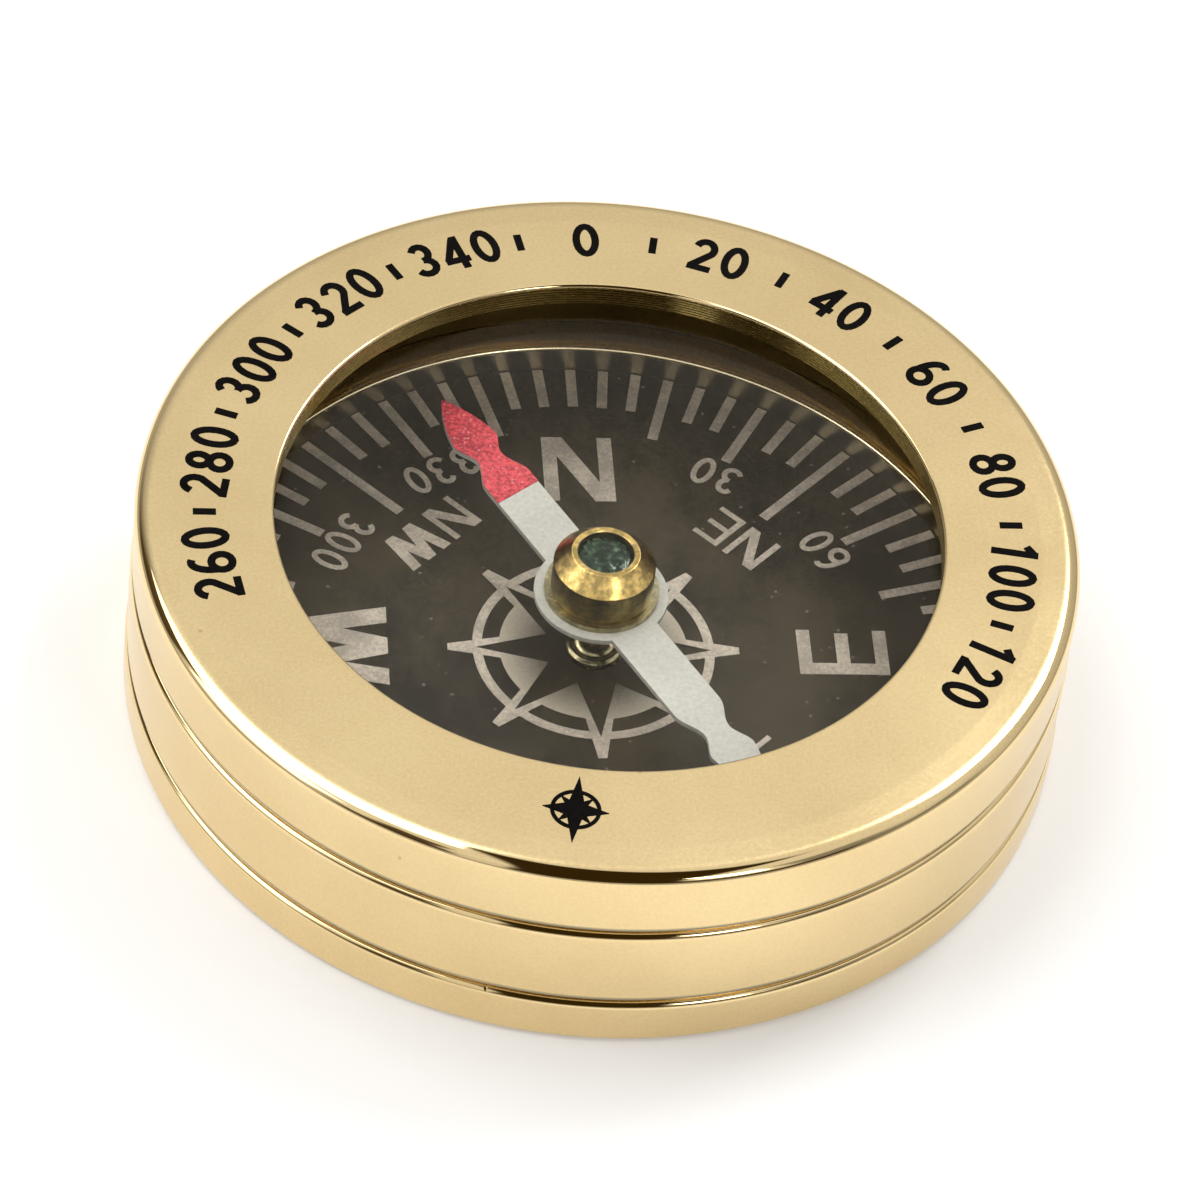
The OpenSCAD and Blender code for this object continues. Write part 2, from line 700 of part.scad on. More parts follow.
bezel_ring();
case_body();
base_cover();
crystal();
crystal_washer();
dial_plate();
dial_packing();
dial_ring();
dial_graduations();
dial_degrees();
dial_letters();
dial_rose();
dial_rose_fill();
pivot_post();
pivot_pin();
pivot_nut();
needle_blade();
needle_red_coat();
hub_cap();
hub_collar();
hub_rivet();
jewel();
bezel_degrees();
bezel_star();
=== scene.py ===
"""Looks of the brass pocket compass: polished case, sunk crystal, printed dial, jewelled needle."""

import math

import bmesh
import bpy
from mathutils import Matrix, Vector


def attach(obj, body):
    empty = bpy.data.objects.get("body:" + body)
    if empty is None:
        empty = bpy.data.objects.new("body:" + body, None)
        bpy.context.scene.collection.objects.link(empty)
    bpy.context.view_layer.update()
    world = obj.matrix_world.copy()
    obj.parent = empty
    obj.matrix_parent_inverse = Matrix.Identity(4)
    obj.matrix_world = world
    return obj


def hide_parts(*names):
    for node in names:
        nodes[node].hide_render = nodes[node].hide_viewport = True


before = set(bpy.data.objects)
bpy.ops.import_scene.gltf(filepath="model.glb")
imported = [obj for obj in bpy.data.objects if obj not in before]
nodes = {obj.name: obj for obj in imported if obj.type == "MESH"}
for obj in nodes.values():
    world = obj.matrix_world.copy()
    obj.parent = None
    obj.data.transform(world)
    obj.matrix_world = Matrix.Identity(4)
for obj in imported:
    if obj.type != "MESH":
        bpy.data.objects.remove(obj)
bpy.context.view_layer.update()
MM = 0.001

# Sizes in millimetres, as in the CAD model, with finer edges and grooves.
# The three bands: outer radii, the heights of the two seams and of the top, and the roundings
# below a seam, above a seam and at the foot
CASE_R, BODY_R, BEZEL_R = 29.0, 28.9, 28.8
BODY_Z, BEZEL_Z, TOP_Z = 3.2, 9.3, 14.4
SEAM_R, LOW_R, FOOT_R = 0.42, 0.6, 0.4
CHAMBER_R, FLOOR_T = 25.2, 1.1
NUT_POCKET_R, NUT_POCKET_DEPTH = 2.28, 0.2
# The threads, and the air above a screwed-in rim
THREAD_R, PITCH, DEPTH, GAP, TURNS = 27.4, 0.58, 0.29, 0.05, 4
SPIGOT_H = PITCH * (TURNS + 1)
RIM_AIR = 0.1
# The bezel's rounded top edge (width, height, centre below the top, last angle), where its flat
# begins, the window with its lip and the fine grooves in its wall
EDGE_W, EDGE_H, EDGE_DROP, EDGE_END_DEG = 1.1, 0.75, 0.78, 88
FLAT_IN = 2.4
WINDOW_R, LIP_R = 20.4, 0.2
GROOVES_Z = (14.05, 13.85, 13.65, 13.45, 13.25, 13.05)
GROOVE_HALF, GROOVE_DEPTH = 0.07, 0.045
# The crystal on its ledge
CRYSTAL_R, CRYSTAL_Z, CRYSTAL_TOP, CRYSTAL_BEVEL = 26.15, 11.8, 12.9, 0.15
CRYSTAL_GAP, LEDGE_Z = 0.05, 11.4
# The dial and the ring round it
DIAL_FACE_Z, DIAL_R = 2.3, 25.15
RING_R, RING_TOP, RING_LIP_R = 24.75, 4.2, 0.2
# The pivot post: stud, flange, and above the dial's face the flange's edge, the step and the dome
NUT_Z, STUD_R, POST_R = 1.0, 0.8, 1.8
FLANGE_EDGE_R, FLANGE_EDGE_UP = 0.15, 0.3
STEP_R, STEP_UP = 1.6, 0.5
DOME_R, DOME_H, DOME_UP = 0.78, 0.62, 0.53
POST_END_R, POST_END_UP = 0.46, 1.15
# The hub's cap: its tube, its rim with rounded edges, the top that the slope leads up to, and the
# seat of the stone
TUBE_END_Z, TUBE_R, TUBE_BORE_R = 6.75, 2.0, 1.15
CAP_Z, CAP_LOW_R, CAP_EDGE_R = 7.9, 0.1, 0.09
HUB_R, SLOPE_DROP = 3.15, 1.07
HUB_TOP, HUB_TOP_R, HUB_TOP_OUT, HUB_FLAT_IN = 11.0, 2.05, 0.02, 0.28
SEAT_GAP, SEAT_DROP = 0.025, 0.045
# The stone: its radius and foot, the cone for the pin, and above the foot its side, bevel and dome
JEWEL_R, JEWEL_Z, CONE = 1.7, 9.45, 0.6
STONE_SIDE, STONE_TOP = 1.1, 1.3
BEVEL_IN, BEVEL_H, BEVEL_STEPS = 0.12, 0.07, 3
STONE_DOME_UP, STONE_DOME_H = 1.17, 0.13

# How far a material of the inside reaches past its wall or below its floor
BORE_REACH, WALL_REACH, FLOOR_REACH = 0.06, 0.1, 0.05
# Distance of the support points from a corner, the least angle of a sharp edge in degrees, and the
# radius that counts as none
SUPPORT, SHARP_DEG, AXIS = 0.05, 28, 1e-9
# Sides of the turned pieces
CASE_SIDES, RING_SIDES, DISC_SIDES, SMALL_SIDES = 320, 256, 128, 96

# In metres: the rounding of the needle's edges, with the least angle of such an edge in degrees,
# the distance of vertices that are joined, and half the floor's width and its height
NEEDLE_EDGE, NEEDLE_EDGE_DEG, WELD = 0.00006, 50, 1e-6
FLOOR_HALF, FLOOR_Z = 3.0, -0.0001


# ---------------------------------------------------------------- mesh code
def arc(cx, cz, r, start, end, steps, rz=None):
    """Points on an arc about (cx, cz), from start to end in degrees. rz is its upright radius."""
    out = []
    for i in range(steps + 1):
        a = math.radians(start + (end - start) * i / steps)
        out.append((cx + r * math.cos(a), cz + (rz or r) * math.sin(a)))
    return out


def supported(points, closed):
    """Adds a point near both ends of each long run, so that smooth shading keeps it flat."""
    out = []
    n = len(points)
    for i in range(n if closed else n - 1):
        a, b = Vector(points[i]), Vector(points[(i + 1) % n])
        out.append(tuple(a))
        length = (b - a).length
        if length > 6 * SUPPORT:
            out.append(tuple(a.lerp(b, SUPPORT / length)))
            out.append(tuple(a.lerp(b, 1 - SUPPORT / length)))
    if not closed:
        out.append(tuple(points[-1]))
    return out


def turned_ring(bm, r, z, sides):
    """The vertices of one point of a section: a ring of them, or a single one on the axis."""
    if r < AXIS:
        return [bm.verts.new((0, 0, z * MM))]
    return [bm.verts.new((r * MM * math.cos(2 * math.pi * k / sides),
                          r * MM * math.sin(2 * math.pi * k / sides), z * MM))
            for k in range(sides)]


def lathe(name, points, material, sides, inner=None, inner_r=0.0, inner_top=0.0):
    """Turns a section of (radius, height) points about the Z axis. A section that starts and ends
    on the axis gives a disc. The faces within inner_r and below inner_top, down to the floor, get
    the material inner."""
    on_axis = points[0][0] < AXIS and points[-1][0] < AXIS
    bm = bmesh.new()
    rings = [turned_ring(bm, r, z, sides) for r, z in supported(points, not on_axis)]
    pairs = list(zip(rings, rings[1:]))
    if not on_axis:
        pairs.append((rings[-1], rings[0]))
    for a, b in pairs:
        for k in range(sides):
            m = (k + 1) % sides
            if len(a) == 1:
                bm.faces.new((a[0], b[m], b[k]))
            elif len(b) == 1:
                bm.faces.new((a[k], a[m], b[0]))
            else:
                bm.faces.new((a[k], a[m], b[m], b[k]))
    bmesh.ops.recalc_face_normals(bm, faces=bm.faces)
    for f in bm.faces:
        f.smooth = True
        mid = f.calc_center_median() / MM
        in_height = FLOOR_T - FLOOR_REACH < mid.z < inner_top
        if inner and math.hypot(mid.x, mid.y) < inner_r and in_height:
            f.material_index = 1
    mesh = bpy.data.meshes.new(name)
    bm.to_mesh(mesh)
    bm.free()
    mesh.set_sharp_from_angle(angle=math.radians(SHARP_DEG))
    o = bpy.data.objects.new(name, mesh)
    bpy.context.scene.collection.objects.link(o)
    mesh.materials.append(material)
    if inner:
        mesh.materials.append(inner)
    return o


def thread_side(r, z):
    """The zigzag of a thread's section, upwards from z."""
    return [(r if i % 2 == 0 else r - DEPTH, z + i * PITCH / 2) for i in range(2 * TURNS + 1)]


def put(o, body, replaced):
    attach(o, body)
    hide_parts(replaced)


# ---------------------------------------------------------------- node tools
class Nodes:
    """A short way to write the node tree of a material or a world."""

    def __init__(self, owner, output):
        owner.use_nodes = True
        self.owner = owner
        self.t = owner.node_tree
        self.t.nodes.clear()
        self.out = self.add(output)

    def add(self, kind, **props):
        n = self.t.nodes.new(kind)
        for k, v in props.items():
            setattr(n, k, v)
        return n

    def put(self, socket, value):
        """Links another node's output to the socket, or sets a number or a colour on it."""
        if hasattr(value, "links"):
            self.t.links.new(value, socket)
        else:
            socket.default_value = (*value, 1) if isinstance(value, tuple) else value

    def coords(self, kind):
        return self.add("ShaderNodeTexCoord").outputs[kind]

    def split(self, vector):
        n = self.add("ShaderNodeSeparateXYZ")
        self.put(n.inputs[0], vector)
        return n.outputs

    def vector(self, x, y, z):
        n = self.add("ShaderNodeCombineXYZ")
        for socket, value in zip(n.inputs, (x, y, z)):
            self.put(socket, value)
        return n.outputs[0]

    def stretched(self, vector, factors):
        n = self.add("ShaderNodeVectorMath", operation="MULTIPLY")
        self.put(n.inputs[0], vector)
        n.inputs[1].default_value = factors
        return n.outputs[0]

    def math(self, op, a, b=0.0):
        n = self.add("ShaderNodeMath", operation=op)
        self.put(n.inputs[0], a)
        self.put(n.inputs[1], b)
        return n.outputs[0]

    def plus(self, a, b):
        return self.math("ADD", a, b)

    def times(self, a, b):
        return self.math("MULTIPLY", a, b)

    def around_half(self, value, amount):
        """Turns a noise of about 0 to 1 into one of about -amount / 2 to amount / 2."""
        return self.times(self.math("SUBTRACT", value, 0.5), amount)

    def radius(self, x, y):
        """Distance from the Z axis."""
        return self.math("SQRT", self.plus(self.times(x, x), self.times(y, y)))

    def noise(self, vector, scale, detail, rough=0.5):
        n = self.add("ShaderNodeTexNoise")
        self.put(n.inputs["Vector"], vector)
        n.inputs["Scale"].default_value = scale
        n.inputs["Detail"].default_value = detail
        n.inputs["Roughness"].default_value = rough
        return n.outputs["Fac"]

    def voronoi(self, vector, scale, feature="F1"):
        n = self.add("ShaderNodeTexVoronoi", feature=feature)
        self.put(n.inputs["Vector"], vector)
        n.inputs["Scale"].default_value = scale
        return n.outputs["Distance"]

    def remap(self, value, from_min, from_max, to_min=0.0, to_max=1.0):
        n = self.add("ShaderNodeMapRange")
        self.put(n.inputs["Value"], value)
        n.inputs["From Min"].default_value = from_min
        n.inputs["From Max"].default_value = from_max
        n.inputs["To Min"].default_value = to_min
        n.inputs["To Max"].default_value = to_max
        return n.outputs[0]

    def ramp(self, value, stops):
        """A colour ramp. Each stop is a position and a colour."""
        n = self.add("ShaderNodeValToRGB")
        self.put(n.inputs[0], value)
        elements = n.color_ramp.elements
        while len(elements) < len(stops):
            elements.new(0.5)
        for element, (position, colour) in zip(elements, stops):
            element.position = position
            element.color = (*colour, 1)
        return n.outputs[0]

    def mix(self, fac, a, b):
        n = self.add("ShaderNodeMix", data_type="RGBA")
        # Sockets 6 and 7, and output 2, are the node's colours
        for index, value in ((0, fac), (6, a), (7, b)):
            self.put(n.inputs[index], value)
        return n.outputs[2]

    def bump(self, height, distance, strength):
        n = self.add("ShaderNodeBump")
        n.inputs["Strength"].default_value = strength
        n.inputs["Distance"].default_value = distance
        self.put(n.inputs["Height"], height)
        return n.outputs[0]

    def principled(self, **sockets):
        n = self.add("ShaderNodeBsdfPrincipled")
        for k, v in sockets.items():
            self.put(n.inputs[k.replace("_", " ")], v)
        self.put(self.out.inputs["Surface"], n.outputs[0])


def new_material(name):
    return Nodes(bpy.data.materials.new(name), "ShaderNodeOutputMaterial")


# ---------------------------------------------------------------- materials
# One radian round the axis counts as this many metres in the noise of the turning lines
LINE_DRIFT = 0.00004
# The line of painted shade on the band's lower rounding lies this many millimetres above a joint
SEAM_SHADE_UP = 0.36
PATCH_DARK = (0.02, 0.016, 0.005)
# Colour of the painted shade above each joint
SEAM_SHADE = (0.27, 0.24, 0.17)
PIT_BROWN = (0.30, 0.19, 0.05)


def brass(name, light, dark, satin, side, polish, turned, grain, pits=0.0, mottle=0.0,
          side_reflection=None, shaded_seams=()):
    """Turned brass. light and dark are the two ends of its tone. satin, side and polish are the
    roughness of level faces, upright sides and rounded edges. turned and grain are the height of
    the turning lines and of the fine grain, pits is how strong small pits are, and mottle is the
    scale of added patches. The colour for the upright sides is a duller one painted in place of
    the dim reflections that they show: painted reflection. The joint heights mark where painted
    shade lies on the lower rounding just above each joint."""
    n = new_material(name)
    place = n.coords("Object")
    x, y, z = n.split(place)
    # Noise that hardly changes round the axis draws the turning lines
    drift = n.times(n.math("ARCTAN2", y, x), LINE_DRIFT)
    round_axis = n.vector(n.radius(x, y), z, drift)
    lines = n.noise(round_axis, 9000, 2.0, 0.6)
    fine = n.noise(round_axis, 26000, 2.0, 0.6)
    cloud = n.noise(place, 90, 3.0, 0.55)
    sand = n.noise(place, 5200, 2.0, 0.6)
    # How level the surface lies tells faces, rounded edges and sides apart
    level = n.math("ABSOLUTE", n.split(n.add("ShaderNodeNewGeometry").outputs["Normal"])[2])
    face = n.remap(level, 0.985, 0.999)
    edge = n.times(n.remap(level, 0.06, 0.2), n.remap(level, 0.95, 0.99, 1.0, 0.0))
    plain = n.math("SUBTRACT", 1.0, edge)

    rough = n.remap(face, 0, 1, side, satin)
    rough = n.plus(rough, n.around_half(cloud, 0.08))
    rough = n.plus(rough, n.around_half(sand, 0.10))
    rough = n.plus(n.times(rough, plain), n.times(edge, polish))

    height = n.plus(n.times(lines, turned), n.times(fine, turned * 0.5))
    height = n.plus(height, n.times(n.times(sand, 0.5 * grain), plain))

    tone = n.plus(n.times(cloud, 0.55), n.times(sand, 0.45))
    colour = n.mix(n.remap(tone, 0.36, 0.64), dark, light)
    # Painted reflection: upright sides take a duller, darker colour in place of the dim
    # surroundings they mirror, such as the dark dial
    if side_reflection:
        colour = n.mix(n.remap(level, 0.1, 0.3, 0.85, 0.0), colour, side_reflection)
    if mottle:
        patch = n.noise(place, mottle, 3.0, 0.6)
        colour = n.mix(n.remap(patch, 0.42, 0.62), n.mix(0.5, PATCH_DARK, colour), colour)
        height = n.plus(height, n.times(patch, 6.0))
    # Painted shade: a darker band on the downward-facing rounding just above each joint, where it
    # lies in shade
    for joint in shaded_seams:
        away = n.math("ABSOLUTE", n.math("SUBTRACT", z, (joint + SEAM_SHADE_UP) * MM))
        seam_shade = n.times(n.remap(away, 0.00016, 0.00034, 0.95, 0.0),
                       n.remap(cloud, 0.3, 0.5, 0.8, 1.0))
        colour = n.mix(seam_shade, colour, SEAM_SHADE)
    if pits:
        spots = n.remap(n.voronoi(place, 260), 0.02, 0.06, 1.0, 0.0)
        pit = n.times(spots, n.remap(n.noise(place, 420, 0.0), 0.53, 0.56))
        height = n.math("SUBTRACT", height, n.times(pit, 14 * pits))
        colour = n.mix(n.times(pit, 0.65 * pits), colour, PIT_BROWN)
    n.principled(Base_Color=colour, Metallic=1.0, Roughness=rough,
                 Normal=n.bump(height, 0.000004, 0.35))
    return n.owner


def painted(name, light, dark, rough, scale, bump, spots=None, specular=0.5, soft=0.14):
    """Paint, rubber or felt with a grain of the given scale. soft is half the width of the step
    between its two tones. spots is the specks' scale, size, threshold (higher is fewer) and
    colour."""
    n = new_material(name)
    place = n.coords("Object")
    cloud = n.noise(place, 140, 3.0, 0.5)
    sand = n.noise(place, scale, 3.0, 0.65)
    tone = n.plus(n.times(cloud, 0.45), n.times(sand, 0.55))
    colour = n.mix(n.remap(tone, 0.5 - soft, 0.5 + soft), dark, light)
    if spots:
        spot_scale, size, threshold, spot_colour = spots
        speck = n.remap(n.voronoi(place, spot_scale), 0.0, size, 1.0, 0.0)
        pick = n.remap(n.noise(place, spot_scale * 1.7, 0.0), threshold, threshold + 0.05)
        colour = n.mix(n.times(speck, pick), colour, spot_colour)
    n.principled(Base_Color=colour, Roughness=n.plus(rough, n.around_half(sand, 0.12)),
                 Normal=n.bump(sand, 0.00001, bump), Specular_IOR_Level=specular)
    return n.owner


def glass():
    """Clear glass with faint smears. Its mirror images are weak and warm."""
    n = new_material("crystal_glass")
    smear = n.noise(n.stretched(n.coords("Object"), (60, 95, 60)), 1.0, 4.0, 0.6)
    n.principled(Base_Color=(0.985, 0.985, 0.965), Roughness=n.remap(smear, 0.52, 0.8, 0.0, 0.03),
                 Transmission_Weight=1.0, IOR=1.45, Specular_Tint=(0.12, 0.09, 0.04))
    return n.owner


def dial_paint():
    """Dark brown paint with soft clouds and a little pale dust."""
    n = new_material("dial_paint")
    place = n.coords("Object")
    cloud = n.noise(n.stretched(place, (1.3, 0.9, 1.0)), 95, 4.0, 0.6)
    sand = n.noise(place, 4200, 3.0, 0.7)
    tone = n.plus(n.times(cloud, 0.62), n.times(sand, 0.38))
    colour = n.mix(n.remap(tone, 0.41, 0.59), (0.020, 0.0145, 0.007), (0.078, 0.059, 0.034))
    dust = n.times(n.remap(n.voronoi(place, 1100), 0.05, 0.16, 1.0, 0.0),
                   n.remap(n.noise(place, 760, 0.0), 0.57, 0.62))
    colour = n.mix(n.times(dust, 0.7), colour, (0.32, 0.27, 0.20))
    n.principled(Base_Color=colour, Roughness=n.remap(sand, 0.3, 0.7, 0.42, 0.52),
                 Normal=n.bump(sand, 0.000008, 0.3), Specular_IOR_Level=0.25)
    return n.owner


def silver_ink(name, light, dark):
    """Worn silver print."""
    n = new_material(name)
    place = n.coords("Object")
    sand = n.noise(place, 4200, 3.0, 0.7)
    wear = n.noise(place, 420, 3.0, 0.6)
    tone = n.plus(n.times(sand, 0.5), n.times(wear, 0.5))
    colour = n.mix(n.remap(tone, 0.42, 0.58), dark, light)
    n.principled(Base_Color=colour, Roughness=n.remap(sand, 0.3, 0.7, 0.34, 0.5), Metallic=0.25,
                 Normal=n.bump(sand, 0.000006, 0.35))
    return n.owner


def field_ink():
    """The rose's fields: a thin print that is darker towards the middle."""
    n = new_material("field_ink")
    place = n.coords("Object")
    x, y, _ = n.split(place)
    sand = n.noise(place, 5200, 3.0, 0.75)
    shade = n.plus(n.remap(n.radius(x, y), 0.0030, 0.0060), n.around_half(sand, 0.5))
    colour = n.mix(n.remap(shade, 0.0, 1.0), (0.10, 0.085, 0.06), (0.66, 0.575, 0.45))
    n.principled(Base_Color=colour, Roughness=0.45, Metallic=0.2,
                 Normal=n.bump(sand, 0.000006, 0.35))
    return n.owner


def jewel_glass():
    """Dark green stone with paler inclusions, and painted glints: a few bright streaks to one side.
    """
    n = new_material("jewel_glass")
    place = n.coords("Object")
    x, y, _ = n.split(place)
    cells = n.noise(place, 2300, 4.0, 0.7)
    colour = n.ramp(cells, [(0.0, (0.002, 0.008, 0.004)), (0.46, (0.006, 0.02, 0.010)),
                            (0.58, (0.035, 0.07, 0.035)), (0.7, (0.20, 0.27, 0.18))])
    # Painted glints: pale streaks kept to one corner of the stone, where a lamp would glint
    edges = n.voronoi(n.stretched(place, (1.0, 0.45, 1.0)), 1900, "DISTANCE_TO_EDGE")
    glint_streaks = n.remap(edges, 0.0, 0.07, 1.0, 0.0)
    glint_corner = n.times(n.remap(x, 0.0002, 0.0004), n.remap(y, -0.0003, -0.0005))
    painted_glint = n.times(n.times(glint_streaks, glint_corner), n.remap(cells, 0.46, 0.54))
    colour = n.mix(n.times(painted_glint, 0.8), colour, (0.75, 0.85, 0.78))
    n.principled(Base_Color=colour, Roughness=0.15, Specular_IOR_Level=0.25,
                 Normal=n.bump(n.voronoi(place, 900), 0.00004, 0.3))
    return n.owner


CASE_BRASS = brass("case_brass", (0.86, 0.675, 0.367), (0.78, 0.595, 0.307), satin=0.22, side=0.2,
                   polish=0.05, turned=0.35, grain=0.9, pits=0.8, shaded_seams=(BODY_Z, BEZEL_Z))
# Painted shade: the window's bore and the chamber's wall are the case's brass made darker for the
# shade in these recesses
BORE_BRASS_SHADED = brass("bore_brass_shaded", (0.44, 0.33, 0.12), (0.16, 0.11, 0.025), satin=0.3, side=0.3,
                   polish=0.14, turned=1.0, grain=0.5)
WALL_BRASS_SHADED = brass("wall_brass_shaded", (0.24, 0.15, 0.04), (0.13, 0.08, 0.02), satin=0.5, side=0.5,
                   polish=0.4, turned=0.6, grain=0.2)
# Painted highlight: the ring's brass is paler than the case's so that its thin top edge shows as a
# brighter line
RING_BRASS_LIT = brass("ring_brass", (0.92, 0.79, 0.52), (0.80, 0.66, 0.40), satin=0.2, side=0.3,
                   polish=0.2, turned=0.3, grain=0.12, side_reflection=(0.33, 0.29, 0.215))
# The hub's upright sides carry a painted reflection of the dark dial below them
HUB_BRASS = brass("hub_brass", (0.94, 0.68, 0.27), (0.74, 0.49, 0.14), satin=0.16, side=0.45,
                  polish=0.24, turned=0.4, grain=1.2, mottle=1500, side_reflection=(0.19, 0.155, 0.06))
POST_BRASS = brass("post_brass", (0.60, 0.53, 0.33), (0.42, 0.36, 0.20), satin=0.26, side=0.26,
                   polish=0.22, turned=0.6, grain=0.8, mottle=1700)
DIAL_PAINT = dial_paint()
SILVER = silver_ink("dial_silver", (0.78, 0.675, 0.55), (0.50, 0.43, 0.345))
FIELD = field_ink()
NEEDLE_PAINT = painted("needle_paint", (0.76, 0.74, 0.66), (0.57, 0.555, 0.49), rough=0.4,
                       scale=3200, bump=0.5)
NEEDLE_RED = painted("needle_red", (0.93, 0.095, 0.12), (0.42, 0.012, 0.028), rough=0.38,
                     scale=4200, bump=0.8, spots=(3000, 0.34, 0.5, (0.96, 0.42, 0.45)), soft=0.07)
BLACK_MARK = painted("black_mark", (0.006, 0.005, 0.004), (0.001, 0.001, 0.001), rough=0.6,
                     scale=3000, bump=0.3, specular=0.03)
RUBBER = painted("washer_rubber", (0.03, 0.03, 0.03), (0.015, 0.015, 0.015), rough=0.6,
                 scale=1500, bump=0.5)
FELT = painted("packing_felt", (0.22, 0.20, 0.17), (0.13, 0.12, 0.10), rough=0.85,
               scale=2200, bump=0.9)
STEEL = brass("pin_steel", (0.60, 0.61, 0.63), (0.50, 0.51, 0.53), satin=0.25, side=0.2,
              polish=0.15, turned=0.8, grain=1.0)
GLASS = glass()
JEWEL = jewel_glass()

# ---------------------------------------------------------------- case
bezel_section = (
    [(WINDOW_R, CRYSTAL_TOP), (THREAD_R + GAP, CRYSTAL_TOP)]
    + thread_side(THREAD_R + GAP, BEZEL_Z + PITCH / 2)[::-1]
    + [(THREAD_R + GAP, BEZEL_Z)]
    + arc(BEZEL_R - LOW_R, BEZEL_Z + LOW_R, LOW_R, -90, 0, 10)
    + arc(BEZEL_R - EDGE_W, TOP_Z - EDGE_DROP, EDGE_W, 0, EDGE_END_DEG, 14, EDGE_H)
    + [(BEZEL_R - FLAT_IN, TOP_Z)]
    + arc(WINDOW_R + LIP_R, TOP_Z - LIP_R, LIP_R, 90, 180, 6)
)
for groove_z in GROOVES_Z:
    bezel_section += [(WINDOW_R, groove_z + GROOVE_HALF), (WINDOW_R + GROOVE_DEPTH, groove_z),
                      (WINDOW_R, groove_z - GROOVE_HALF)]
bezel = lathe("bezel_ring_turned", bezel_section, CASE_BRASS, CASE_SIDES,
              BORE_BRASS_SHADED, WINDOW_R + BORE_REACH, TOP_Z - LIP_R)
put(bezel, "case", "bezel_ring")

body_section = (
    [(CHAMBER_R, BODY_Z + SPIGOT_H + RIM_AIR), (THREAD_R + GAP, BODY_Z + SPIGOT_H + RIM_AIR)]
    + thread_side(THREAD_R + GAP, BODY_Z + PITCH / 2)[::-1]
    + [(THREAD_R + GAP, BODY_Z)]
    + arc(BODY_R - LOW_R, BODY_Z + LOW_R, LOW_R, -90, 0, 10)
    + arc(BODY_R - SEAM_R, BEZEL_Z - SEAM_R, SEAM_R, 0, 90, 8)
    + [(THREAD_R - DEPTH, BEZEL_Z)]
    + thread_side(THREAD_R, BEZEL_Z + PITCH / 2)
    + [(THREAD_R - DEPTH, BEZEL_Z + SPIGOT_H), (THREAD_R - DEPTH, CRYSTAL_TOP - RIM_AIR),
       (CRYSTAL_R + CRYSTAL_GAP, CRYSTAL_TOP - RIM_AIR), (CRYSTAL_R + CRYSTAL_GAP, LEDGE_Z),
       (CHAMBER_R, LEDGE_Z)]
)
body = lathe("case_body_turned", body_section, CASE_BRASS, CASE_SIDES,
             WALL_BRASS_SHADED, CRYSTAL_R + WALL_REACH, CRYSTAL_TOP)
put(body, "case", "case_body")

base_section = (
    [(0, 0)]
    + arc(CASE_R - FOOT_R, FOOT_R, FOOT_R, -90, 0, 10)
    + arc(CASE_R - SEAM_R, BODY_Z - SEAM_R, SEAM_R, 0, 90, 8)
    + [(THREAD_R - DEPTH, BODY_Z)]
    + thread_side(THREAD_R, BODY_Z + PITCH / 2)
    + [(THREAD_R - DEPTH, BODY_Z + SPIGOT_H), (CHAMBER_R, BODY_Z + SPIGOT_H),
       (CHAMBER_R, FLOOR_T), (NUT_POCKET_R, FLOOR_T),
       (NUT_POCKET_R, FLOOR_T - NUT_POCKET_DEPTH), (0, FLOOR_T - NUT_POCKET_DEPTH)]
)
base = lathe("base_cover_turned", base_section, CASE_BRASS, CASE_SIDES,
             WALL_BRASS_SHADED, CHAMBER_R + WALL_REACH, CRYSTAL_TOP)
put(base, "case", "base_cover")

crystal_section = [(0, CRYSTAL_Z), (CRYSTAL_R - CRYSTAL_BEVEL, CRYSTAL_Z),
                   (CRYSTAL_R, CRYSTAL_Z + CRYSTAL_BEVEL), (CRYSTAL_R, CRYSTAL_TOP - CRYSTAL_BEVEL),
                   (CRYSTAL_R - CRYSTAL_BEVEL, CRYSTAL_TOP), (0, CRYSTAL_TOP)]
crystal = lathe("crystal_disc", crystal_section, GLASS, DISC_SIDES)
put(crystal, "case", "crystal")

# ---------------------------------------------------------------- dial and pivot
ring_section = ([(RING_R, DIAL_FACE_Z), (DIAL_R, DIAL_FACE_Z), (DIAL_R, RING_TOP)]
                + arc(RING_R + RING_LIP_R, RING_TOP - RING_LIP_R, RING_LIP_R, 90, 180, 5))
ring = lathe("dial_ring_turned", ring_section, RING_BRASS_LIT, RING_SIDES)
put(ring, "case", "dial_ring")

post_section = (
    [(0, NUT_Z), (STUD_R, NUT_Z), (STUD_R, DIAL_FACE_Z), (POST_R, DIAL_FACE_Z)]
    + arc(POST_R - FLANGE_EDGE_R, DIAL_FACE_Z + FLANGE_EDGE_UP, FLANGE_EDGE_R, 0, 70, 4)
    + [(STEP_R, DIAL_FACE_Z + STEP_UP)]
    + arc(DOME_R, DIAL_FACE_Z + DOME_UP, DOME_R, 0, 90, 6, DOME_H)
    + [(POST_END_R, DIAL_FACE_Z + POST_END_UP), (0, DIAL_FACE_Z + POST_END_UP)]
)
post = lathe("pivot_post_turned", post_section, POST_BRASS, SMALL_SIDES)
put(post, "case", "pivot_post")

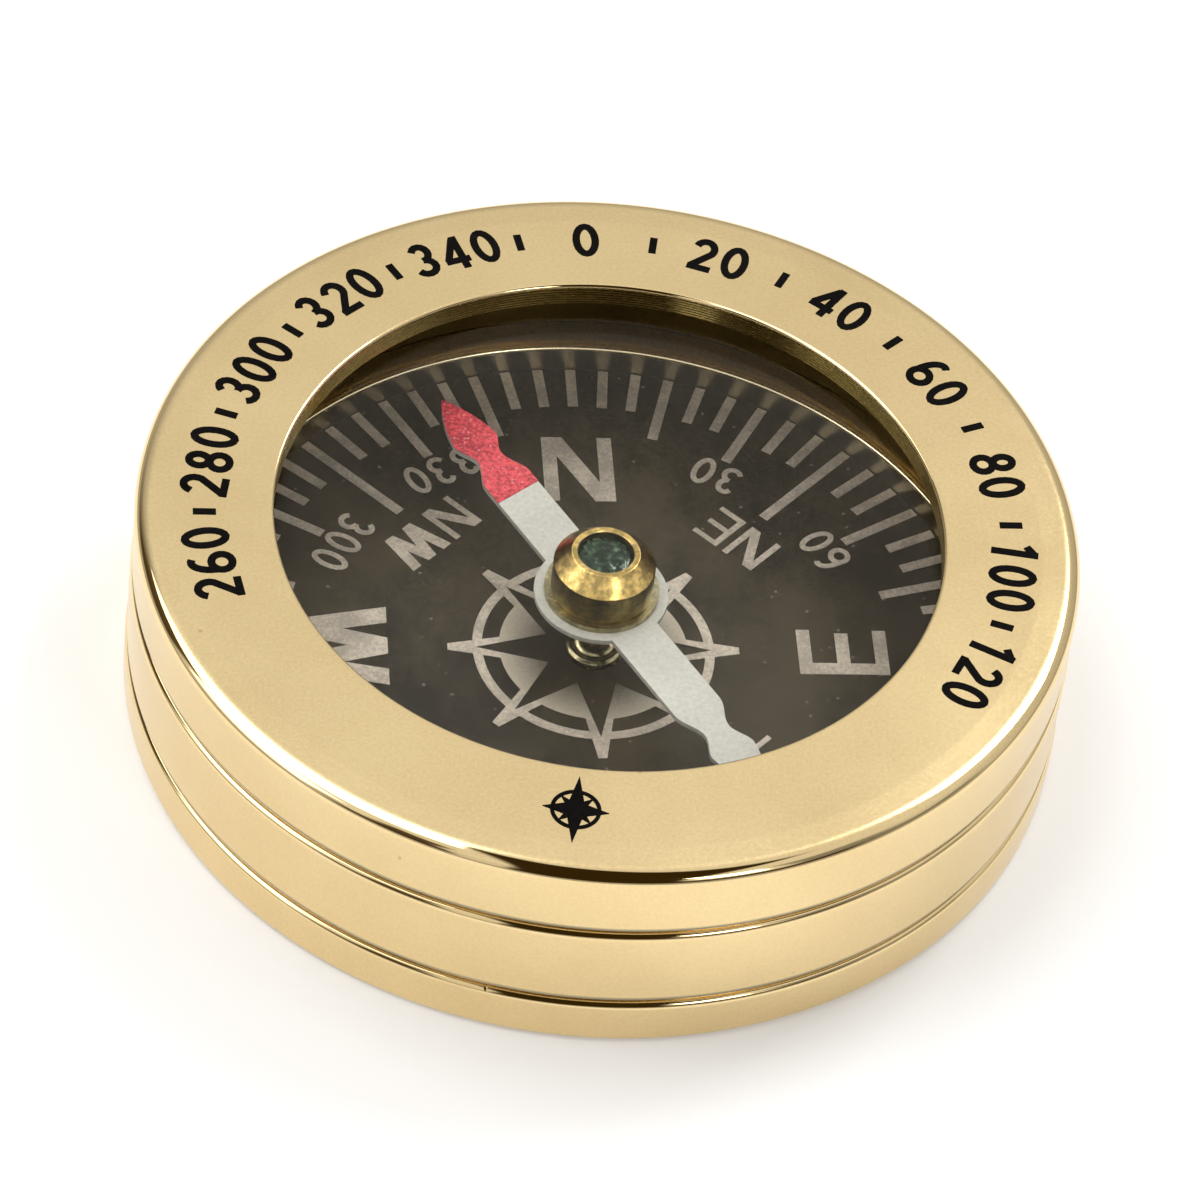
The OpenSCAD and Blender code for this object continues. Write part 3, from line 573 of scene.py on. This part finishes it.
# ---------------------------------------------------------------- needle
cap_section = (
    [(TUBE_BORE_R, TUBE_END_Z), (TUBE_R, TUBE_END_Z), (TUBE_R, CAP_Z)]
    + arc(HUB_R - CAP_LOW_R, CAP_Z + CAP_LOW_R, CAP_LOW_R, -90, 0, 4)
    + arc(HUB_R - CAP_EDGE_R, HUB_TOP - SLOPE_DROP, CAP_EDGE_R, 0, 36, 3)
    + arc(HUB_TOP_R + HUB_TOP_OUT, HUB_TOP - CAP_EDGE_R, CAP_EDGE_R, 36, 90, 3)
    + [(HUB_TOP_R - HUB_FLAT_IN, HUB_TOP), (JEWEL_R + SEAT_GAP, HUB_TOP - SEAT_DROP),
       (JEWEL_R + SEAT_GAP, JEWEL_Z), (TUBE_BORE_R, JEWEL_Z)]
)
cap = lathe("hub_cap_turned", cap_section, HUB_BRASS, DISC_SIDES)
put(cap, "needle", "hub_cap")

stone_section = (
    [(0, JEWEL_Z + CONE), (CONE, JEWEL_Z), (JEWEL_R, JEWEL_Z), (JEWEL_R, JEWEL_Z + STONE_SIDE)]
    + [(JEWEL_R - BEVEL_IN * i / BEVEL_STEPS, JEWEL_Z + STONE_SIDE + BEVEL_H * i / BEVEL_STEPS)
       for i in range(1, BEVEL_STEPS + 1)]
    + arc(0, JEWEL_Z + STONE_DOME_UP, JEWEL_R - BEVEL_IN, 15, 75, 4, STONE_DOME_H)
    + [(0, JEWEL_Z + STONE_TOP)]
)
stone = lathe("jewel_stone", stone_section, JEWEL, SMALL_SIDES)
put(stone, "needle", "jewel")

# ---------------------------------------------------------------- nodes shown as they are
CAD_LOOKS = {
    "crystal_washer": RUBBER, "dial_plate": DIAL_PAINT, "dial_packing": FELT,
    "dial_graduations": SILVER, "dial_degrees": SILVER, "dial_letters": SILVER,
    "dial_rose": SILVER, "dial_rose_fill": FIELD, "pivot_pin": STEEL, "pivot_nut": POST_BRASS,
    "needle_blade": NEEDLE_PAINT, "needle_red_coat": NEEDLE_RED, "hub_collar": POST_BRASS,
    "hub_rivet": POST_BRASS, "bezel_degrees": BLACK_MARK, "bezel_star": BLACK_MARK,
}
for name, material in CAD_LOOKS.items():
    o = nodes[name]
    o.data.materials.clear()
    o.data.materials.append(material)


def soft_edges(o, width):
    """Joins the node's split vertices in the shown mesh and rounds its edges a little."""
    w = o.modifiers.new("join", "WELD")
    w.merge_threshold = WELD
    b = o.modifiers.new("soft_edge", "BEVEL")
    b.width = width
    b.segments = 2
    b.limit_method = "ANGLE"
    b.angle_limit = math.radians(NEEDLE_EDGE_DEG)


soft_edges(nodes["needle_blade"], NEEDLE_EDGE)

# ---------------------------------------------------------------- floor
floor_mesh = bpy.data.meshes.new("floor")
bm = bmesh.new()
bmesh.ops.create_grid(bm, x_segments=1, y_segments=1, size=FLOOR_HALF)
bm.to_mesh(floor_mesh)
bm.free()
floor = bpy.data.objects.new("floor", floor_mesh)
floor.location.z = FLOOR_Z
bpy.context.scene.collection.objects.link(floor)
n = new_material("floor_white")
# A little light of its own makes the floor white to the camera, in metal and through glass
path = n.add("ShaderNodeLightPath")
seen = n.plus(n.times(path.outputs["Is Camera Ray"], 0.2),
              n.plus(n.times(path.outputs["Is Glossy Ray"], 0.2),
                     n.times(path.outputs["Is Transmission Ray"], 0.12)))
diffuse = n.add("ShaderNodeBsdfDiffuse")
n.put(diffuse.inputs["Color"], (0.80, 0.80, 0.80))
glow = n.add("ShaderNodeEmission")
n.put(glow.inputs["Color"], (1, 1, 1))
n.put(glow.inputs["Strength"], seen)
both = n.add("ShaderNodeAddShader")
n.put(both.inputs[0], diffuse.outputs[0])
n.put(both.inputs[1], glow.outputs[0])
n.put(n.out.inputs["Surface"], both.outputs[0])
floor_mesh.materials.append(n.owner)

# ---------------------------------------------------------------- world
# Bright screens stand round the table, with dark gaps between them
world = bpy.data.worlds.new("studio")
bpy.context.scene.world = world
w = Nodes(world, "ShaderNodeOutputWorld")
east, north, height = w.split(w.coords("Generated"))
FRONT = 189  # heading of the camera as the compass sees it, in degrees
FRONT_WEST = FRONT + 90


def along(heading):
    """How far a direction points towards a compass heading."""
    h = math.radians(heading)
    return w.plus(w.times(east, math.sin(h)), w.times(north, math.cos(h)))


def grey(v):
    """The screens are a little warm, and the gaps between them dark brown."""
    brown = max(0.0, 1 - v / 0.2)
    return (v * (1 + 0.3 * brown), v * (0.985 - 0.25 * brown), v * (0.96 - 0.95 * brown))


front_turn = w.math("ARCTAN2", along(FRONT_WEST), along(FRONT))
turn_share = w.plus(w.math("DIVIDE", front_turn, 2 * math.pi), 0.5)


def panels(*stops):
    """Grey round the horizon. A stop is degrees from FRONT, positive to the west, and a grey."""
    return w.ramp(turn_share, [((turn + 180) / 360, grey(v)) for turn, v in stops])


low = panels((-180, 0.68), (-130, 0.68), (-112, 0.8), (-98, 0.8), (-90, 0.32), (-66, 0.28),
             (-60, 0.05), (11, 0.03), (13, 0.9), (22, 0.9), (25, 0.05), (48, 0.06), (58, 0.95),
             (97, 0.95), (102, 0.08), (124, 0.08), (142, 0.5), (160, 0.68), (180, 0.68))
middle = panels((-180, 0.82), (-130, 0.82), (-112, 0.85), (-82, 0.85), (-72, 0.34), (-54, 0.34),
                (-49, 1.0), (-27, 1.0), (-23, 0.03), (9, 0.03), (13, 0.95), (26, 0.95), (30, 0.1),
                (42, 0.1), (48, 1.0), (98, 1.0), (103, 0.1), (124, 0.1), (140, 0.6), (160, 0.82),
                (180, 0.82))
# Low screens with the middle ones above them, both a little darker than their stops say, and a
# bright ceiling. A height is the upward part of a direction of length 1.
sky = w.mix(w.remap(height, 0.42, 0.52), low, middle)
sky = w.mix(w.remap(height, 0.60, 0.71, 0.14, 0.0), sky, grey(0.0))
sky = w.mix(w.remap(height, 0.74, 0.80), sky, grey(0.88))
# A dark strip from the front edge of the table to a little past the zenith
across = along(FRONT_WEST)
strip = w.times(w.remap(across, -0.38, -0.34), w.remap(across, 0.13, 0.17, 1.0, 0.0))
strip = w.times(strip, w.remap(along(FRONT), -0.14, -0.06))
sky = w.mix(strip, sky, grey(0.03))
# Plain grey close to the table
sky = w.mix(w.remap(height, 0.19, 0.29, 1.0, 0.0), sky, grey(0.5))
# The camera sees white, also through the glass
path = w.add("ShaderNodeLightPath")
seen = w.math("MAXIMUM", path.outputs["Is Camera Ray"], path.outputs["Is Transmission Ray"])
back = w.add("ShaderNodeBackground")
w.put(back.inputs["Color"], w.mix(seen, sky, (1, 1, 1)))
back.inputs["Strength"].default_value = 1.0
w.put(w.out.inputs["Surface"], back.outputs[0])


# ---------------------------------------------------------------- lamps
def softbox(name, place, size, watts):
    """A soft lamp that points at the compass. place and size are in metres."""
    light = bpy.data.lights.new(name, "AREA")
    light.shape = "RECTANGLE"
    light.size, light.size_y = size
    light.energy = watts
    o = bpy.data.objects.new(name, light)
    o.location = place
    o.rotation_euler = (-Vector(place)).to_track_quat("-Z", "Y").to_euler()
    bpy.context.scene.collection.objects.link(o)


softbox("key", (-0.30, 0.13, 0.60), (0.5, 0.5), 2.0)
softbox("back", (0.305, 0.28, 0.47), (0.2, 0.2), 1.4)
softbox("left", (-0.42, -0.04, 0.30), (0.3, 0.2), 0.35)
softbox("right", (0.20, -0.37, 0.38), (0.12, 0.12), 0.3)

# ---------------------------------------------------------------- camera
EYE = Vector((-39.70, -249.31, 270.63)) * MM
AIM = Vector((0, 0, 7.2)) * MM
ROLL = math.radians(7.47)
LENS = 178  # millimetres
CLIP_START = 0.01  # metres
forward = (AIM - EYE).normalized()
right = forward.cross(Vector((0, 0, 1))).normalized()
up = right.cross(forward)
cam_right = right * math.cos(ROLL) + up * math.sin(ROLL)
cam_up = up * math.cos(ROLL) - right * math.sin(ROLL)
turn = Matrix((cam_right, cam_up, -forward)).transposed().to_4x4()
camera = bpy.data.objects.new("camera", bpy.data.cameras.new("camera"))
camera.matrix_world = Matrix.Translation(EYE) @ turn
camera.data.lens = LENS
camera.data.clip_start = CLIP_START
bpy.context.scene.collection.objects.link(camera)
bpy.context.scene.camera = camera
bpy.context.scene.view_settings.view_transform = "Standard"
